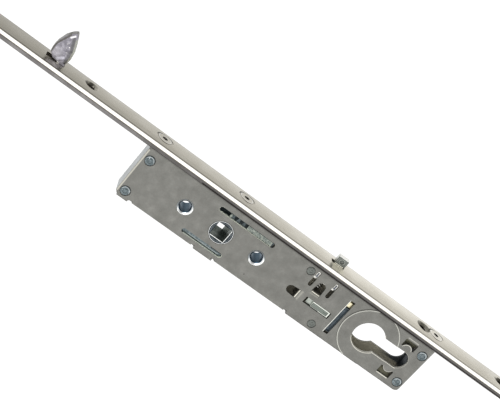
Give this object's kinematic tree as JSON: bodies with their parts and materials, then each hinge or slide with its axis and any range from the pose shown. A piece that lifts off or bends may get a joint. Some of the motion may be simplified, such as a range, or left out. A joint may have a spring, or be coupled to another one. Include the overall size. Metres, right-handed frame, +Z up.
{
  "type": "patio door lock",
  "caption": "Door lock with a flat case behind a long narrow faceplate strip, whose sliding rail throws leaf-shaped claws into the frame.",
  "frame": {"origin": "on the axis of the spindle's square, at mid thickness of the case", "axes": "+X points out of the faceplate's front towards the door frame, +Y points across the case from the sheet with the windows to the plain one, and +Z points up the strip"},
  "size_m": [0.0519, 0.016, 0.568],
  "materials": {
    "faceplate": "bright passivated steel strip, satin",
    "drive_rail": "plain zinc plate",
    "claws": "cast, pale and fine grained",
    "lock_case": "zinc plated sheet",
    "case_cover": "zinc plated sheet",
    "end_blocks": "zinc casting",
    "case_rivets": "bluish zinc plate",
    "spacers": "turned steel",
    "handle_bushes": "bright nickel plate",
    "case_screws": "bright zinc plate",
    "rail_keepers": "bright zinc plate",
    "hub": "sintered, zinc plated",
    "drive_slide": "yellow passivated zinc casting",
    "drive_studs": "turned steel",
    "return_slide": "zinc casting",
    "springs": "drawn spring wire",
    "spring_seat": "zinc plated strip",
    "plunger": "polished edges, satin sides",
    "plunger_carriage": "zinc casting",
    "cam_follower": "dark slate zinc casting",
    "follower_shoe": "pale brass",
    "follower_pin": "ground steel",
    "deadlock_slide": "greenish zinc plate"
  },
  "bodies": {
    "case": {"faceplate": "faceplate", "lock_case": "lock_case", "case_cover": "case_cover", "upper_end_block": "end_blocks", "lower_end_block": "end_blocks", "case_rivets": "case_rivets", "rivet_spacers": "spacers", "upper_handle_bush": "handle_bushes", "lower_handle_bush": "handle_bushes", "case_screws": "case_screws", "rail_spacers": "spacers", "rail_keepers": "rail_keepers", "return_spring": "springs", "spring_seat": "spring_seat", "plunger_spring": "springs"},
    "rail": {"drive_rail": "drive_rail", "drive_slide": "drive_slide", "drive_studs": "drive_studs", "upper_claw": "claws", "lower_claw": "claws"},
    "hub": {"hub": "hub"},
    "return_slide": {"return_slide": "return_slide"},
    "plunger": {"plunger": "plunger", "plunger_carriage": "plunger_carriage"},
    "cam_follower": {"cam_follower": "cam_follower", "follower_shoe": "follower_shoe", "follower_pin": "follower_pin"},
    "deadlock": {"deadlock_slide": "deadlock_slide"}
  },
  "joints": [
    {"name": "rail_lift", "type": "slide", "parent": "case", "child": "rail", "axis": [0, 0, 1], "range_m": [0, 0.0056]},
    {"name": "hub_turn", "type": "hinge", "parent": "case", "child": "hub", "pos_m": [0, 0, 0], "axis": [0, -1, 0], "range_deg": [0, 34]},
    {"name": "return_slide_drop", "type": "slide", "parent": "case", "child": "return_slide", "axis": [0, 0, -1], "range_m": [0, 0.0056], "stiffness_N_per_m": 120, "deforming": ["return_spring"]},
    {"name": "plunger_press", "type": "slide", "parent": "case", "child": "plunger", "axis": [-1, 0, 0], "range_m": [0, 0.0047], "stiffness_N_per_m": 300, "deforming": ["plunger_spring"]},
    {"name": "follower_slide", "type": "slide", "parent": "case", "child": "cam_follower", "axis": [1, 0, 0], "range_m": [0, 0.0042]},
    {"name": "deadlock_lift", "type": "slide", "parent": "case", "child": "deadlock", "axis": [0, 0, 1], "range_m": [0, 0.0042]}
  ],
  "couplings": [
    {"joint": "hub_turn", "follows": "rail_lift", "rad_per_m": 105.26},
    {"joint": "return_slide_drop", "follows": "rail_lift", "ratio": 1},
    {"joint": "deadlock_lift", "follows": "follower_slide", "ratio": 1}
  ]
}
